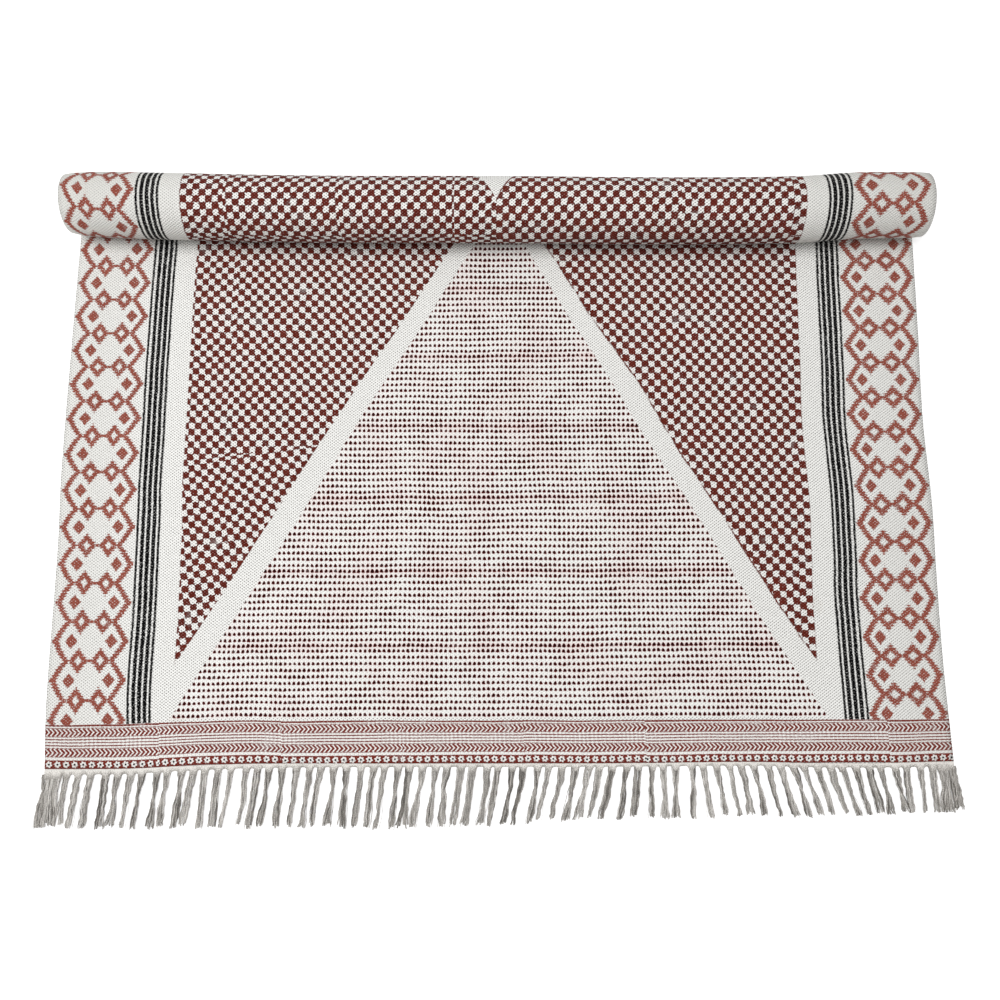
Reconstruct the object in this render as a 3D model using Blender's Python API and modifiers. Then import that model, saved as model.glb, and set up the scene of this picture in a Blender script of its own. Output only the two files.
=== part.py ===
"""A block-printed cotton rug: it lies flat with its print up, and its far end is rolled up on top of it."""

import math
import random

import bmesh
import bpy

# The cloth, in metres
RUG_WIDTH = 1.200
RUG_LENGTH = 1.800
CLOTH_THICKNESS = 0.004
LAYER_GAP = 0.0006
LAYER_PITCH = CLOTH_THICKNESS + LAYER_GAP

# Along the cloth from its near edge: where it turns back under the roll, and how it turns
FOLD_PLACE = 0.7873
FOLD_RADIUS = 0.0035
FOLD_STEPS = 8
FLAT_STEPS = 16

# The roll: its middle line behind the near edge, its first radius and its flat spot
ROLL_MIDDLE = 0.7645
ROLL_RADIUS = 0.0453
ROLL_STEPS = 24
ROLL_FLAT_ANGLE = math.radians(15)
WIDTH_STEPS = 10

# How uneven the cloth lies: pairs of a place and a shift there, both in metres
ROLL_BOW = ((-0.60, 0.0115), (-0.45, 0.0065), (-0.25, 0.0015), (0.00, 0.0000), (0.25, -0.0030),
            (0.42, -0.0015), (0.50, 0.0040), (0.60, 0.0055))
ROLL_SWELL = ((-0.60, -0.0025), (-0.50, 0.0000), (0.00, 0.0004), (0.50, 0.0000), (0.60, -0.0010))
LEFT_EDGE = ((0.00, 0.0042), (0.09, 0.0000), (0.30, 0.0002), (0.40, -0.0024), (0.60, -0.0010), (0.74, 0.0010))
RIGHT_EDGE = ((0.00, 0.0024), (0.14, -0.0016), (0.25, -0.0010), (0.35, 0.0005), (0.47, -0.0030),
              (0.60, 0.0000), (0.74, 0.0020))
NEAR_EDGE = ((-0.60, -0.0006), (-0.20, -0.0006), (0.20, 0.0006), (0.40, 0.0025), (0.60, 0.0044))
ROLL_END_SHIFT = 0.0016
ROLL_END_WAVE = 21.0

# The heading strip and its tassels
STRIP_GAP = 0.0003
STRIP_DEPTH = 0.009
STRIP_HEIGHT = 0.0036
TASSEL_COUNT = 69
TASSEL_ROOT = 0.0060
TASSEL_WIDTH = 0.0086
TASSEL_HEIGHT = 0.0050
TASSEL_STEPS = 5
TASSEL_JITTER = 0.0018
TASSEL_SWAY = 0.0014
SPLIT_EVERY = 5
SPLIT_GAP = 0.0007
CORNER_LOCKS = 3
CORNER_LOCK_WIDTH = 0.0062
CORNER_FAN = 0.0035
RANDOM_SEED = 12

# Pairs of a place across the rug and, there, a tassel's length and its sideways lean for each metre of length
TASSEL_LENGTH = ((-0.60, 0.063), (-0.10, 0.062), (0.20, 0.057), (0.60, 0.054))
TASSEL_LEAN = ((-0.60, -0.09), (-0.30, -0.12), (-0.05, -0.12), (0.06, -0.20), (0.15, -0.25), (0.22, 0.00),
               (0.33, 0.22), (0.45, 0.28), (0.53, 0.13), (0.60, 0.10))

# The materials: colour, roughness
CLOTH_LOOK = ((0.62, 0.47, 0.42), 0.95)
FRINGE_LOOK = ((0.47, 0.44, 0.41), 0.95)


def read_between(table, place):
    """The value that a table of (place, value) pairs has at a place, with straight lines between its rows."""
    if place <= table[0][0]:
        return table[0][1]
    for (low, low_value), (high, high_value) in zip(table, table[1:]):
        if place <= high:
            return low_value + (high_value - low_value) * (place - low) / (high - low)
    return table[-1][1]


def clear_scene():
    """Empties the scene."""
    for thing in list(bpy.data.objects):
        bpy.data.objects.remove(thing, do_unlink=True)


def make_material(name, look):
    """A plain matte material."""
    colour, roughness = look
    material = bpy.data.materials.new(name)
    material.use_nodes = True
    shader = material.node_tree.nodes["Principled BSDF"]
    shader.inputs["Base Color"].default_value = (*colour, 1.0)
    shader.inputs["Roughness"].default_value = roughness
    shader.inputs["Metallic"].default_value = 0.0
    return material


def add_object(name, work, material, collection):
    """Turns a bmesh into a named object."""
    mesh = bpy.data.meshes.new(name)
    bmesh.ops.recalc_face_normals(work, faces=work.faces)
    work.to_mesh(mesh)
    work.free()
    mesh.materials.append(material)
    thing = bpy.data.objects.new(name, mesh)
    collection.objects.link(thing)
    return thing


def cloth_profile():
    """Stations along the cloth's middle layer: (length along the cloth, kind, place on that stretch)."""
    stations = [(FOLD_PLACE * step / FLAT_STEPS, "flat", step / FLAT_STEPS) for step in range(FLAT_STEPS)]
    length = FOLD_PLACE
    for step in range(FOLD_STEPS + 1):
        angle = math.pi * step / FOLD_STEPS
        stations.append((length + FOLD_RADIUS * angle, "fold", angle))
    length += FOLD_RADIUS * math.pi + (FOLD_PLACE - ROLL_MIDDLE)
    angle = 0.0
    turn = 2 * math.pi / ROLL_STEPS
    while length < RUG_LENGTH:
        stations.append((length, "roll", angle))
        length += (ROLL_RADIUS - LAYER_PITCH * angle / (2 * math.pi)) * turn
        angle += turn
    return stations


def flattened(angle):
    """The cosine of an angle from straight down, cut off level near the bottom for the roll's flat spot."""
    return min(math.cos(angle), math.cos(ROLL_FLAT_ANGLE))


def cloth_point(across, station):
    """A point of the cloth's middle layer; across runs from 0 at the left edge to 1 at the right."""
    length, kind, place = station
    side = RUG_WIDTH * (across - 0.5)
    bow = read_between(ROLL_BOW, side)
    near = read_between(NEAR_EDGE, side)
    middle = CLOTH_THICKNESS / 2
    shift = (1 - across) * read_between(LEFT_EDGE, length) + across * read_between(RIGHT_EDGE, length)
    if kind == "flat":
        return side + shift, near + (FOLD_PLACE + bow - near) * place, middle
    if kind == "fold":
        out = FOLD_RADIUS * math.sin(place)
        up = FOLD_RADIUS * (1 - math.cos(place))
        return side + shift, FOLD_PLACE + bow + out, middle + up
    radius = ROLL_RADIUS + read_between(ROLL_SWELL, side) - LAYER_PITCH * place / (2 * math.pi)
    axis_height = middle + LAYER_PITCH + (ROLL_RADIUS + read_between(ROLL_SWELL, side)) * flattened(0.0)
    drift = ROLL_END_SHIFT * math.sin(ROLL_END_WAVE * length) * (2 * across - 1)
    back = ROLL_MIDDLE + bow - radius * math.sin(place)
    return side + shift + drift, back, axis_height - radius * flattened(place)


def build_rug(collection):
    """The whole cloth as one sheet with thickness."""
    stations = cloth_profile()
    work = bmesh.new()
    bmesh.ops.create_grid(work, x_segments=WIDTH_STEPS, y_segments=len(stations) - 1, size=0.5)
    for vertex in work.verts:
        station = stations[round((vertex.co.y + 0.5) * (len(stations) - 1))]
        vertex.co = cloth_point(vertex.co.x + 0.5, station)
    rug = add_object("rug", work, make_material("cloth", CLOTH_LOOK), collection)
    solidify = rug.modifiers.new("thickness", "SOLIDIFY")
    solidify.thickness = CLOTH_THICKNESS
    solidify.offset = 0.0
    solidify.use_even_offset = True
    return rug


def strip_ends():
    """The left and right ends of the near edge."""
    return -RUG_WIDTH / 2 + read_between(LEFT_EDGE, 0.0), RUG_WIDTH / 2 + read_between(RIGHT_EDGE, 0.0)


def plan_locks():
    """Every lock of the fringe, left to right: a dict of its root, width, length, lean and sway."""
    chance = random.Random(RANDOM_SEED)
    locks = []
    corner_width = CORNER_LOCKS * (CORNER_LOCK_WIDTH + SPLIT_GAP)
    for side, end in zip((-1, 1), strip_ends()):
        for index in range(CORNER_LOCKS):
            root = end - side * (index + 0.5) * (CORNER_LOCK_WIDTH + SPLIT_GAP)
            fan = side * CORNER_FAN * (1 - index) / CORNER_LOCKS
            locks.append({"root": root, "root_width": CORNER_LOCK_WIDTH, "width": CORNER_LOCK_WIDTH,
                          "fan": fan, "jitter": 0.0, "sway": 0.0})
    left, right = strip_ends()
    room = right - left - 2 * corner_width
    for index in range(TASSEL_COUNT):
        root = left + corner_width + room * (index + 0.5) / TASSEL_COUNT + chance.uniform(-1, 1) * TASSEL_JITTER
        jitter = chance.uniform(-1, 1) * TASSEL_JITTER
        sway = chance.uniform(-1, 1) * TASSEL_SWAY
        if index % SPLIT_EVERY == 2:
            half = (TASSEL_WIDTH - SPLIT_GAP) / 2
            half_root = (TASSEL_ROOT - SPLIT_GAP) / 2
            for side in (-1, 1):
                locks.append({"root": root + side * (half_root + SPLIT_GAP) / 2, "root_width": half_root,
                              "width": half, "fan": side * (half - half_root) / 2 + side * SPLIT_GAP,
                              "jitter": jitter, "sway": sway})
        else:
            locks.append({"root": root, "root_width": TASSEL_ROOT, "width": TASSEL_WIDTH,
                          "fan": 0.0, "jitter": jitter, "sway": sway})
    return sorted(locks, key=lambda lock: lock["root"])


def lock_section(lock, share):
    """A lock's middle, width and height at a share of its length."""
    length = read_between(TASSEL_LENGTH, lock["root"])
    lean = read_between(TASSEL_LEAN, lock["root"])
    middle = lock["root"] + lean * length * share + (lock["fan"] + lock["jitter"]) * share
    middle += lock["sway"] * math.sin(2 * math.pi * share)
    widen = min(1.0, 3 * share)
    width = lock["root_width"] + (lock["width"] - lock["root_width"]) * widen
    height = STRIP_HEIGHT + (TASSEL_HEIGHT - STRIP_HEIGHT) * math.sin(math.pi * min(1.0, share + 0.1))
    return middle, width, height, length * share


def build_fringe(collection):
    """The heading strip as a row of cells, with a lock extruded from each cell that has one."""
    locks = plan_locks()
    left, right = strip_ends()
    breaks = [left, right]
    for lock in locks:
        breaks += [lock["root"] - lock["root_width"] / 2, lock["root"] + lock["root_width"] / 2]
    breaks.sort()
    work = bmesh.new()
    bmesh.ops.create_grid(work, x_segments=len(breaks) - 1, y_segments=1, size=0.5)
    for vertex in work.verts:
        side = breaks[round((vertex.co.x + 0.5) * (len(breaks) - 1))]
        back = read_between(NEAR_EDGE, side) - STRIP_GAP
        vertex.co = (side, back - STRIP_DEPTH * (vertex.co.y < 0), 0.0)
    raised = bmesh.ops.extrude_face_region(work, geom=work.faces[:])
    bmesh.ops.translate(work, verts=[part for part in raised["geom"] if isinstance(part, bmesh.types.BMVert)],
                        vec=(0, 0, STRIP_HEIGHT))
    bmesh.ops.recalc_face_normals(work, faces=work.faces)
    fronts = sorted((face for face in work.faces if face.normal.y < -0.9),
                    key=lambda face: face.calc_center_median().x)
    ends = fronts[1::2]
    for step in range(1, TASSEL_STEPS + 1):
        ends = bmesh.ops.extrude_discrete_faces(work, faces=ends)["faces"]
        ends.sort(key=lambda face: face.calc_center_median().x)
        for lock, face in zip(locks, ends):
            middle, width, height, forward = lock_section(lock, step / TASSEL_STEPS)
            centre = face.calc_center_median()
            front = read_between(NEAR_EDGE, lock["root"]) - STRIP_GAP - STRIP_DEPTH - forward
            for vertex in face.verts:
                right = 1 if vertex.co.x > centre.x else -1
                vertex.co = (middle + right * width / 2, front, height if vertex.co.z > centre.z else 0.0)
    return add_object("fringe", work, make_material("fringe", FRINGE_LOOK), collection)


def centre_on_origin(things):
    """Moves the objects so that the middle of their common box's underside is the origin."""
    bpy.context.view_layer.update()
    dependencies = bpy.context.evaluated_depsgraph_get()
    corners = []
    for thing in things:
        mesh = thing.evaluated_get(dependencies).to_mesh()
        corners += [vertex.co.copy() for vertex in mesh.vertices]
        thing.evaluated_get(dependencies).to_mesh_clear()
    for thing in things:
        for axis in (0, 1):
            low = min(corner[axis] for corner in corners)
            high = max(corner[axis] for corner in corners)
            thing.location[axis] = -(low + high) / 2


def main():
    clear_scene()
    collection = bpy.data.collections.new("dhurrie_rug")
    bpy.context.scene.collection.children.link(collection)
    centre_on_origin([build_rug(collection), build_fringe(collection)])


main()
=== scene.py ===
"""The looks of a block-printed cotton dhurrie rug.

It lies flat with its print up, and its far end is rolled up on top of it.
"""

import math
import random
from functools import reduce

import bmesh
import bpy
from mathutils import Matrix, Vector, noise


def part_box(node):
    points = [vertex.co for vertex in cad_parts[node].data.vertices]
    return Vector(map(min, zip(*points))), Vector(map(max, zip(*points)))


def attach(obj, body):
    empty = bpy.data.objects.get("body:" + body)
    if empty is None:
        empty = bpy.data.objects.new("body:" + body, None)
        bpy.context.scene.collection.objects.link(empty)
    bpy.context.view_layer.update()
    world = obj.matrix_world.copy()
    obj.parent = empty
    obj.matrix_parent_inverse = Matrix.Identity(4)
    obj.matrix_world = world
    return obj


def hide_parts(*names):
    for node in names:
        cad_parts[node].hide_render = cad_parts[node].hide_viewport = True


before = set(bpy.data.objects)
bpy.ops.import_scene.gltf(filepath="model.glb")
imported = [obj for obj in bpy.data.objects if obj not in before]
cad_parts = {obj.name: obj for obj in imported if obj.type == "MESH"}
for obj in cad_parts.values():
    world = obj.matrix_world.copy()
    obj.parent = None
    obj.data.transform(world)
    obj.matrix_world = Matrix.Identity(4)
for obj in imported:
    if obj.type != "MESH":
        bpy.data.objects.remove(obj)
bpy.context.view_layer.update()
RUG_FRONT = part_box("rug")[0].y

# The cloth, in metres
RUG_WIDTH = 1.200
RUG_LENGTH = 1.800
CLOTH_THICKNESS = 0.004
CLOTH_MIDDLE = CLOTH_THICKNESS / 2
LAYER_PITCH = 0.0046
EDGE_THINNING = 0.55

# The fold under the roll, and the roll
FOLD_PLACE = 0.7873
FOLD_RADIUS = 0.0035
ROLL_MIDDLE = 0.7645
ROLL_RADIUS = 0.0453
ROLL_FLAT_ANGLE = math.radians(15)
ROLL_END_SHIFT = 0.0016
ROLL_END_WAVE = 21.0

# How finely the cloth is divided: across, and along each stretch
COLUMNS = 120
FLAT_STEPS = 84
FOLD_STEPS = 12
RUN_STEPS = 3
OUTER_STEPS = 66
OUTER_TURN = math.radians(400)
INNER_STEPS = 96

# How uneven the cloth lies: pairs of a place and a shift there, both in metres
ROLL_BOW = ((-0.60, 0.0134), (-0.565, 0.0106), (-0.45, 0.0065), (-0.25, 0.0015), (0.00, 0.0000),
            (0.25, -0.0030), (0.42, -0.0015), (0.50, 0.0040), (0.60, 0.0055))
ROLL_SWELL = ((-0.60, -0.0042), (-0.565, -0.0012), (-0.50, 0.0000), (0.00, 0.0004), (0.50, 0.0000),
              (0.60, -0.0010))
LEFT_EDGE = ((0.00, 0.0042), (0.09, 0.0000), (0.30, 0.0002), (0.40, -0.0024), (0.60, -0.0010),
             (0.74, 0.0010))
RIGHT_EDGE = ((0.00, 0.0024), (0.14, -0.0016), (0.25, -0.0010), (0.35, 0.0005), (0.47, -0.0030),
              (0.60, 0.0000), (0.74, 0.0020))
NEAR_EDGE = ((-0.60, -0.0006), (-0.49, -0.0004), (-0.41, 0.0030), (-0.31, 0.0054), (-0.15, 0.0050),
             (0.16, 0.0044), (0.33, 0.0056), (0.41, 0.0038), (0.50, 0.0036), (0.60, 0.0056))

# How far along the cloth the print still follows the near edge's unevenness
EDGE_FADE = 0.16

# The cloth's low ripples
RIPPLE_HEIGHT = 0.0018
RIPPLE_LENGTH = 0.16
RIPPLE_END = 0.62
RIPPLE_FADE = 0.2
RIPPLE_SLICE = 4.7

# Where the middle of the near edge lies in the frame
HOME_SIDE = -0.0032
HOME = Vector((HOME_SIDE, RUG_FRONT - NEAR_EDGE[0][1], 0.0))

# The heading strip and its tassels
STRIP_GAP = 0.0003
STRIP_DEPTH = ((-0.60, 0.0070), (-0.40, 0.0060), (-0.20, 0.0044), (0.30, 0.0044), (0.60, 0.0062))
STRIP_HEIGHT = 0.0030
STRIP_STEPS = 6
STRIP_COLUMNS = 900
STRIP_WAVE_HEIGHT = 0.0003
STRIP_WAVES = 700
ROOT_FLARE = 0.0062
ROOT_HALF = 0.0030
ARCH_HALF = 0.0044

# The tassels: how many, how wide, and the least and most of what differs between them
TASSEL_COUNT = 69
TASSEL_WIDTH = 0.0100
TASSEL_ROOT_WIDTH = 0.0118
TASSEL_JITTER = 0.0022
TIP_STRAY = 0.0024
GATHER_SHARE = 0.13
TASSEL_SWAY = 0.0014
SWAY_GROWTH = 3
KINK_SHARE = 0.5
KINK_WAVES = 3.3
KINK_GROWTH = 4
LENGTH_SHARES = (0.95, 1.03)
BEND_SHARES = (0.35, 0.9)
WIDTH_SHARES = (0.82, 1.12)
WAIST_SHARES = (0.74, 1.0)
WAIST_PLACE = 1.1
FLARES = (0.8, 1.0, 1.25, 1.6)
FLARE_START = 0.72
FLARE_POWER = 1.5
TURN_MOST = 1.4
SPLIT_CHANCE = 0.22
SPLIT_START = 0.35
SPLIT_WIDTH = 0.0016

# The yarns in a tassel
TASSEL_POINTS = 16
YARN_CRIMP = 0.00045
CRIMP_WAVES = 30
YARN_REACHES = (-0.045, 0.03)
YARN_WANDERS = (0.0003, 0.0011)
WANDER_WAVES = 5
BUNDLE_FILL = 0.86
BUNDLE_DEPTH = 0.5
BUNDLE_LEAN = 0.25
BUNDLE_RISE = 2.7
SETTLE_START = 0.7
SETTLE_SHARE = 0.35
TIP_START = 0.93
TIP_THINNING = 0.8
YARN_RADIUS = 0.00100
YARN_ROWS = (5, 4)
YARN_SHADES = (0, 0, 1, 1, 1, 2)

# The locks that fan out at each corner
CORNER_LOCKS = 4
CORNER_INSET = 0.4
CORNER_LOCK_PITCH = 0.0052
CORNER_FAN = 0.0058

# The loose hairs
HAIR_SHARE = 0.22
HAIR_COUNT = 90
HAIR_STEPS = 5
HAIR_STARTS = (0.25, 0.8)
HAIR_END = 1.04
HAIR_STRAYS = (0.003, 0.0065)
HAIR_TURN = 0.5
HAIR_JITTER = 0.0004

# How long the tassels are and how they lean: pairs of a place and a value there
TASSEL_LENGTH = ((-0.60, 0.0650), (-0.40, 0.0722), (-0.10, 0.0762), (0.03, 0.0712), (0.13, 0.0645),
                 (0.30, 0.0645), (0.42, 0.0605), (0.60, 0.0555))
TASSEL_LEAN = ((-0.60, -0.09), (-0.30, -0.12), (-0.05, -0.12), (0.06, -0.20), (0.15, -0.25),
               (0.22, 0.00), (0.33, 0.22), (0.45, 0.28), (0.53, 0.13), (0.60, 0.10))
RANDOM_SEED = 12

# The camera: its place from the middle of the near edge, how far it looks down, its turn and its lens
CAMERA_PLACE = Vector((0.0054, 0.0922, 1.4368))
CAMERA_PITCH = math.radians(79.511)
CAMERA_ROLL = math.radians(-0.196)
CAMERA_LENS = 38.07
CAMERA_SENSOR = 36.0


def read_between(table, place):
    """The value of a table of (place, value) pairs at a place, on a smooth line through its rows."""
    if place <= table[0][0]:
        return table[0][1]
    if place >= table[-1][0]:
        return table[-1][1]
    index = next(i for i in range(len(table) - 1) if place <= table[i + 1][0])
    (low, low_value), (high, high_value) = table[index], table[index + 1]
    before = table[max(index - 1, 0)]
    after = table[min(index + 2, len(table) - 1)]
    share = (place - low) / (high - low)
    low_slope = (high_value - before[1]) / (high - before[0]) * (high - low)
    high_slope = (after[1] - low_value) / (after[0] - low) * (high - low)
    square, cube = share ** 2, share ** 3
    return ((2 * cube - 3 * square + 1) * low_value + (cube - 2 * square + share) * low_slope
            + (3 * square - 2 * cube) * high_value + (cube - square) * high_slope)


def sideways(side, length):
    """How far the cloth is pulled sideways at a place across it and a length along it."""
    across = side / RUG_WIDTH + 0.5
    return (1 - across) * read_between(LEFT_EDGE, length) + across * read_between(RIGHT_EDGE, length)


def ripple(side, back):
    """The small height of the cloth above the floor, which dies out before the roll."""
    fade = max(0.0, min(1.0, (RIPPLE_END - back) / RIPPLE_FADE))
    wave = noise.noise(Vector((side / RIPPLE_LENGTH, back / RIPPLE_LENGTH, RIPPLE_SLICE)))
    return RIPPLE_HEIGHT * fade * (0.5 + wave / 2) ** 2


def flattened(angle):
    """The cosine of an angle from straight down, cut off level for the roll's flat spot."""
    return min(math.cos(angle), math.cos(ROLL_FLAT_ANGLE))


def turned_angle(radius, length):
    """The angle at which a spiral that starts at this radius has used up a length of cloth."""
    shrink = LAYER_PITCH / (2 * math.pi)
    return (radius - math.sqrt(radius ** 2 - 2 * shrink * length)) / shrink


def cloth_path(side):
    """The section of the cloth's middle layer: pairs of how far back and how high, near edge first."""
    bow = read_between(ROLL_BOW, side)
    near = read_between(NEAR_EDGE, side)
    radius = ROLL_RADIUS + read_between(ROLL_SWELL, side)
    axis_height = CLOTH_MIDDLE + LAYER_PITCH + radius * flattened(0.0)
    fold_back = FOLD_PLACE + bow
    path = []
    for step in range(FLAT_STEPS):
        back = near + (fold_back - near) * step / FLAT_STEPS
        path.append((back, CLOTH_MIDDLE + ripple(side, back)))
    for step in range(FOLD_STEPS + 1):
        angle = math.pi * step / FOLD_STEPS
        path.append((fold_back + FOLD_RADIUS * math.sin(angle),
                     CLOTH_MIDDLE + FOLD_RADIUS * (1 - math.cos(angle))))
    run_back, run_height = path[-1]
    for step in range(1, RUN_STEPS):
        share = step / RUN_STEPS
        path.append((run_back + (ROLL_MIDDLE + bow - run_back) * share,
                     run_height + (CLOTH_MIDDLE + LAYER_PITCH - run_height) * share))
    used = fold_back - near + math.pi * FOLD_RADIUS + FOLD_PLACE - ROLL_MIDDLE
    whole_turn = turned_angle(radius, RUG_LENGTH - used)
    angles = [OUTER_TURN * step / OUTER_STEPS for step in range(OUTER_STEPS)]
    inner_turn = whole_turn - OUTER_TURN
    angles += [OUTER_TURN + inner_turn * step / INNER_STEPS for step in range(INNER_STEPS + 1)]
    for angle in angles:
        left = radius - LAYER_PITCH * angle / (2 * math.pi)
        path.append((ROLL_MIDDLE + bow - left * math.sin(angle), axis_height - left * flattened(angle)))
    return path


def cloth_column(side):
    """Points of the cloth's middle layer, near edge first, each with its place along the print."""
    near = read_between(NEAR_EDGE, side)
    path = cloth_path(side)
    column = []
    length = near
    for index, (back, height) in enumerate(path):
        if index:
            length += math.hypot(back - path[index - 1][0], height - path[index - 1][1])
        drift = 0.0
        if index >= FLAT_STEPS:
            drift = ROLL_END_SHIFT * math.sin(ROLL_END_WAVE * length) * 2 * side / RUG_WIDTH
        print_length = length - near * max(0.0, 1 - (length - near) / EDGE_FADE)
        place = Vector((side + sideways(side, length) + drift, back, height)) + HOME
        column.append((place, print_length))
    return column


def finish_piece(name, work, materials):
    """Turns a bmesh into a named object with smooth faces that rides on the one body."""
    mesh = bpy.data.meshes.new(name)
    work.to_mesh(mesh)
    work.free()
    mesh.shade_smooth()
    for material in materials:
        mesh.materials.append(material)
    piece = bpy.data.objects.new(name, mesh)
    bpy.context.scene.collection.objects.link(piece)
    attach(piece, "root")
    return piece


def weave_cloth(print_material, back_material):
    """The whole rug as one printed sheet: its UV map holds metres across and along the print."""
    columns = [cloth_column(RUG_WIDTH * (index / COLUMNS - 0.5)) for index in range(COLUMNS + 1)]
    stations = len(columns[0])
    work = bmesh.new()
    place = work.loops.layers.uv.new("print_place")
    bmesh.ops.create_grid(work, x_segments=COLUMNS, y_segments=stations - 1, size=0.5)
    along = {}
    for vertex in work.verts:
        column = round((vertex.co.x + 0.5) * COLUMNS)
        station = round((vertex.co.y + 0.5) * (stations - 1))
        vertex.co, length = columns[column][station]
        along[vertex] = (RUG_WIDTH * (column / COLUMNS - 0.5), length)
    for face in work.faces:
        for loop in face.loops:
            loop[place].uv = along[loop.vert]
    rims = [vertex.index for vertex in work.verts if vertex.is_boundary]
    cloth = finish_piece("printed_cloth", work, [print_material, back_material])
    full = cloth.vertex_groups.new(name="full_thickness")
    full.add(range(len(cloth.data.vertices)), 1.0, "REPLACE")
    full.add(rims, EDGE_THINNING, "REPLACE")
    solidify = cloth.modifiers.new("thickness", "SOLIDIFY")
    solidify.thickness = CLOTH_THICKNESS
    solidify.offset = 0.0
    solidify.use_even_offset = True
    solidify.vertex_group = full.name
    solidify.material_offset = 1
    solidify.material_offset_rim = 1
    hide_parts("rug")
    return cloth


def strip_front(side):
    """How far back the front of the heading strip lies between two tassels."""
    return read_between(NEAR_EDGE, side) - STRIP_GAP - read_between(STRIP_DEPTH, side)


def strip_ends():
    """The left and right ends of the near edge, from its middle."""
    return -RUG_WIDTH / 2 + read_between(LEFT_EDGE, 0.0), RUG_WIDTH / 2 + read_between(RIGHT_EDGE, 0.0)


def plan_tassels():
    """Every tassel of the fringe, left to right: its root, its tip's shift, its length and its shape."""
    chance = random.Random(RANDOM_SEED)
    left, right = strip_ends()
    corner_width = CORNER_LOCKS * CORNER_LOCK_PITCH
    room = right - left - 2 * corner_width
    tassels = []
    for index in range(TASSEL_COUNT):
        root = left + corner_width + room * (index + 0.5) / TASSEL_COUNT
        root += chance.uniform(-1, 1) * TASSEL_JITTER
        tassels.append({"root": root, "shift": chance.gauss(0, TIP_STRAY), "corner": False})
    for side, end in ((-1, left), (1, right)):
        for index in range(CORNER_LOCKS):
            shift = side * CORNER_FAN * (1 - index) / CORNER_LOCKS
            root = end - side * (index + CORNER_INSET) * CORNER_LOCK_PITCH
            tassels.append({"root": root, "shift": shift, "corner": True})
    tassels.sort(key=lambda tassel: tassel["root"])
    for tassel in tassels:
        tassel["length"] = read_between(TASSEL_LENGTH, tassel["root"]) * chance.uniform(*LENGTH_SHARES)
        tassel["sway"] = chance.uniform(-1, 1) * TASSEL_SWAY
        tassel["kink"] = chance.uniform(-1, 1) * TASSEL_SWAY * KINK_SHARE
        tassel["bend"] = chance.uniform(*BEND_SHARES)
        tassel["width"] = TASSEL_WIDTH * chance.uniform(*WIDTH_SHARES)
        tassel["waist"] = chance.uniform(*WAIST_SHARES)
        tassel["flare"] = chance.choice(FLARES)
        tassel["turn"] = chance.uniform(-TURN_MOST, TURN_MOST)
        tassel["split"] = chance.random() < SPLIT_CHANCE and not tassel["corner"]
    return tassels


def tassel_middle(tassel, share):
    """A tassel's middle at a share of its length: sideways from the rug's middle, and forwards."""
    lean = read_between(TASSEL_LEAN, tassel["root"])
    forward = tassel["length"] * share
    side = tassel["root"] + lean * forward + tassel["shift"] * share
    wave = math.pi * share / tassel["bend"]
    side += tassel["sway"] * math.sin(wave) * min(1.0, SWAY_GROWTH * share)
    side += tassel["kink"] * math.sin(KINK_WAVES * wave) * min(1.0, KINK_GROWTH * share)
    return side, forward


def yarn_point(tassel, yarn, share):
    """A yarn's place at a share of its tassel's length: sideways, forwards and up."""
    middle, forward = tassel_middle(tassel, share)
    gather = min(1.0, share / GATHER_SHARE)
    spread = TASSEL_ROOT_WIDTH + (tassel["width"] - TASSEL_ROOT_WIDTH) * gather
    pinch = 1 - (1 - tassel["waist"]) * math.sin(math.pi * min(1.0, share * WAIST_PLACE)) ** 2
    opened = max(0.0, (share - FLARE_START) / (1 - FLARE_START))
    open_end = 1 + (tassel["flare"] - 1) * opened ** FLARE_POWER
    angle = tassel["turn"] * share * math.pi * gather
    slot, row = yarn["slot"], yarn["row"]
    across = slot * math.cos(angle) + (row - 0.5) * BUNDLE_DEPTH * math.sin(angle)
    across *= spread / 2 * BUNDLE_FILL
    if tassel["split"]:
        across += math.copysign(SPLIT_WIDTH, slot) * max(0.0, (share - SPLIT_START) / (1 - SPLIT_START))
    side = middle + across * pinch * open_end
    side += yarn["wander"] * math.sin(WANDER_WAVES * share + yarn["phase"])
    side += YARN_CRIMP * math.sin(CRIMP_WAVES * share + 2 * yarn["phase"]) * gather
    rise = (row + 0.5) / len(YARN_ROWS) - BUNDLE_LEAN * slot * math.sin(angle)
    settle = 1 - SETTLE_SHARE * max(0.0, share - SETTLE_START) / (1 - SETTLE_START)
    height = YARN_RADIUS + max(0.0, rise) * BUNDLE_RISE * YARN_RADIUS * settle * gather
    return side, forward, height


def spin_tassel(tassel, chance, curve):
    """One tassel's yarns, each a spline that leaves the heading strip and lies on the floor."""
    front = strip_front(tassel["root"])
    yarns = [(row, index, count) for row, count in enumerate(YARN_ROWS) for index in range(count)]
    for row, index, count in yarns:
        yarn = {"row": row, "slot": (index + 0.5) / count * 2 - 1}
        reach = 1 + chance.uniform(*YARN_REACHES)
        yarn["phase"] = chance.uniform(0, 2 * math.pi)
        yarn["wander"] = chance.uniform(*YARN_WANDERS)
        spline = curve.splines.new("POLY")
        spline.material_index = chance.choice(YARN_SHADES)
        spline.points.add(TASSEL_POINTS - 1)
        for step, point in enumerate(spline.points):
            share = step / (TASSEL_POINTS - 1) * reach
            side, forward, height = yarn_point(tassel, yarn, share)
            place = Vector((side, front - forward, height)) + HOME
            point.co = (*place, 1.0)
            point.radius = 1.0 if share < TIP_START * reach else TIP_THINNING


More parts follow.
